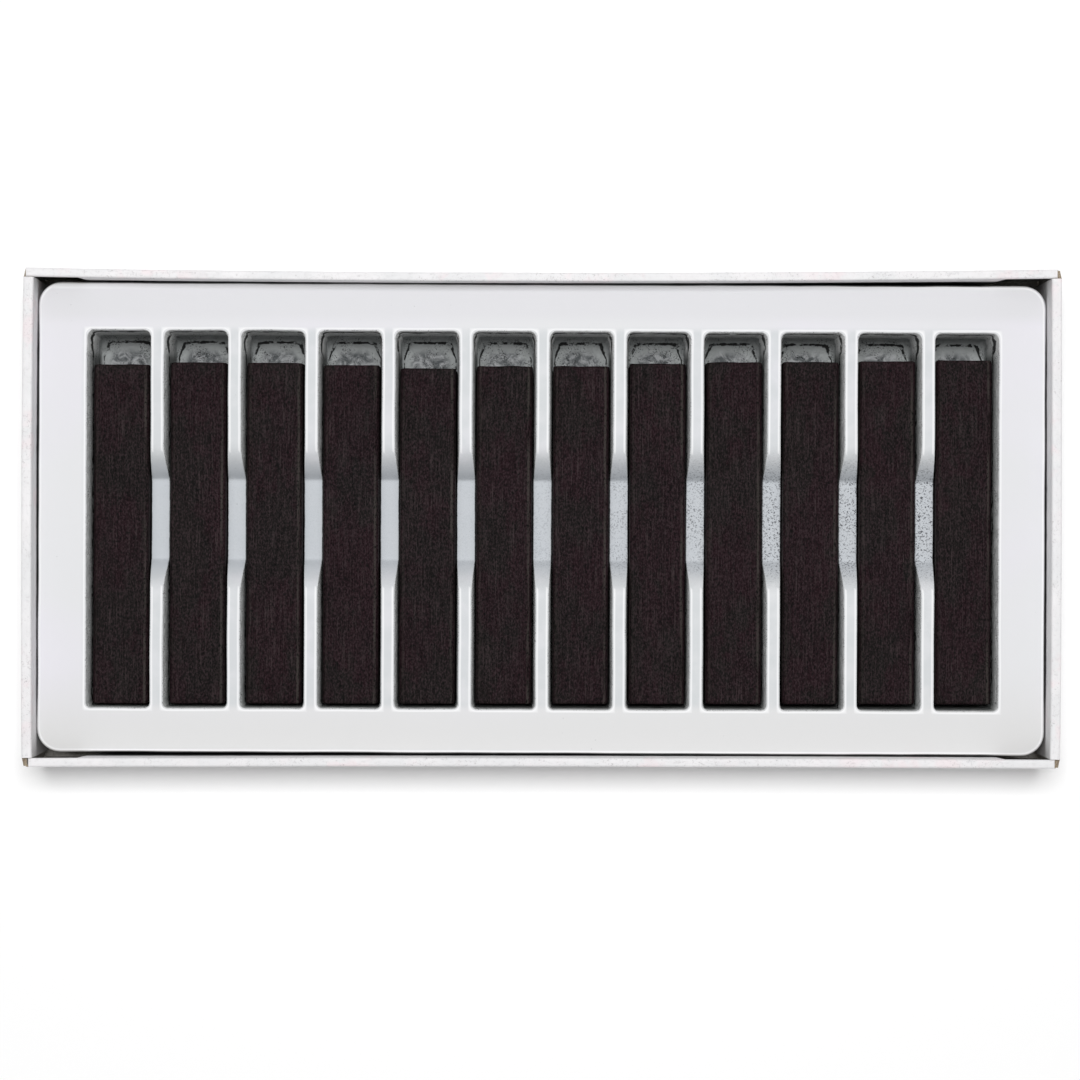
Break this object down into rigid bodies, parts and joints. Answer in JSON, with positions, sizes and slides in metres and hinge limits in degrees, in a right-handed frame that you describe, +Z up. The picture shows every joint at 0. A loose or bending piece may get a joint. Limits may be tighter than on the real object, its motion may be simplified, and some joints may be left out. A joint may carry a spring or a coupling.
{
  "type": "charcoal stick set",
  "caption": "Square compressed charcoal sticks in the pockets of a white thermoformed tray, in an open folded board carton.",
  "frame": {"origin": "middle of the carton's underside, on the surface that it rests on", "axes": "+X along the carton's length, across the row of sticks; +Y along the sticks, towards the pockets' free ends; +Z up, out of the open top"},
  "size_m": [0.2294, 0.1102, 0.0242],
  "materials": {
    "board": "satin",
    "tray_plastic": "satin",
    "charcoal": "matte"
  },
  "bodies": {
    "carton": {"carton_floor": "board", "carton_front_wall": "board", "carton_back_wall": "board", "carton_left_wall": "board", "carton_right_wall": "board", "carton_front_left_flap": "board", "carton_front_right_flap": "board", "carton_back_left_flap": "board", "carton_back_right_flap": "board"},
    "tray": {"tray": "tray_plastic"},
    "stick_01": {"stick_01": "charcoal"},
    "stick_02": {"stick_02": "charcoal"},
    "stick_03": {"stick_03": "charcoal"},
    "stick_04": {"stick_04": "charcoal"},
    "stick_05": {"stick_05": "charcoal"},
    "stick_06": {"stick_06": "charcoal"},
    "stick_07": {"stick_07": "charcoal"},
    "stick_08": {"stick_08": "charcoal"},
    "stick_09": {"stick_09": "charcoal"},
    "stick_10": {"stick_10": "charcoal"},
    "stick_11": {"stick_11": "charcoal"},
    "stick_12": {"stick_12": "charcoal"}
  },
  "joints": [
    {"name": "tray_lift", "type": "slide", "parent": "carton", "child": "tray", "axis": [0, 0, 1], "range_m": [0, 0.03]},
    {"name": "stick_01_lift", "type": "slide", "parent": "tray", "child": "stick_01", "axis": [0, 0, 1], "range_m": [0, 0.03]},
    {"name": "stick_02_lift", "type": "slide", "parent": "tray", "child": "stick_02", "axis": [0, 0, 1], "range_m": [0, 0.03]},
    {"name": "stick_03_lift", "type": "slide", "parent": "tray", "child": "stick_03", "axis": [0, 0, 1], "range_m": [0, 0.03]},
    {"name": "stick_04_lift", "type": "slide", "parent": "tray", "child": "stick_04", "axis": [0, 0, 1], "range_m": [0, 0.03]},
    {"name": "stick_05_lift", "type": "slide", "parent": "tray", "child": "stick_05", "axis": [0, 0, 1], "range_m": [0, 0.03]},
    {"name": "stick_06_lift", "type": "slide", "parent": "tray", "child": "stick_06", "axis": [0, 0, 1], "range_m": [0, 0.03]},
    {"name": "stick_07_lift", "type": "slide", "parent": "tray", "child": "stick_07", "axis": [0, 0, 1], "range_m": [0, 0.03]},
    {"name": "stick_08_lift", "type": "slide", "parent": "tray", "child": "stick_08", "axis": [0, 0, 1], "range_m": [0, 0.03]},
    {"name": "stick_09_lift", "type": "slide", "parent": "tray", "child": "stick_09", "axis": [0, 0, 1], "range_m": [0, 0.03]},
    {"name": "stick_10_lift", "type": "slide", "parent": "tray", "child": "stick_10", "axis": [0, 0, 1], "range_m": [0, 0.03]},
    {"name": "stick_11_lift", "type": "slide", "parent": "tray", "child": "stick_11", "axis": [0, 0, 1], "range_m": [0, 0.03]},
    {"name": "stick_12_lift", "type": "slide", "parent": "tray", "child": "stick_12", "axis": [0, 0, 1], "range_m": [0, 0.03]}
  ]
}
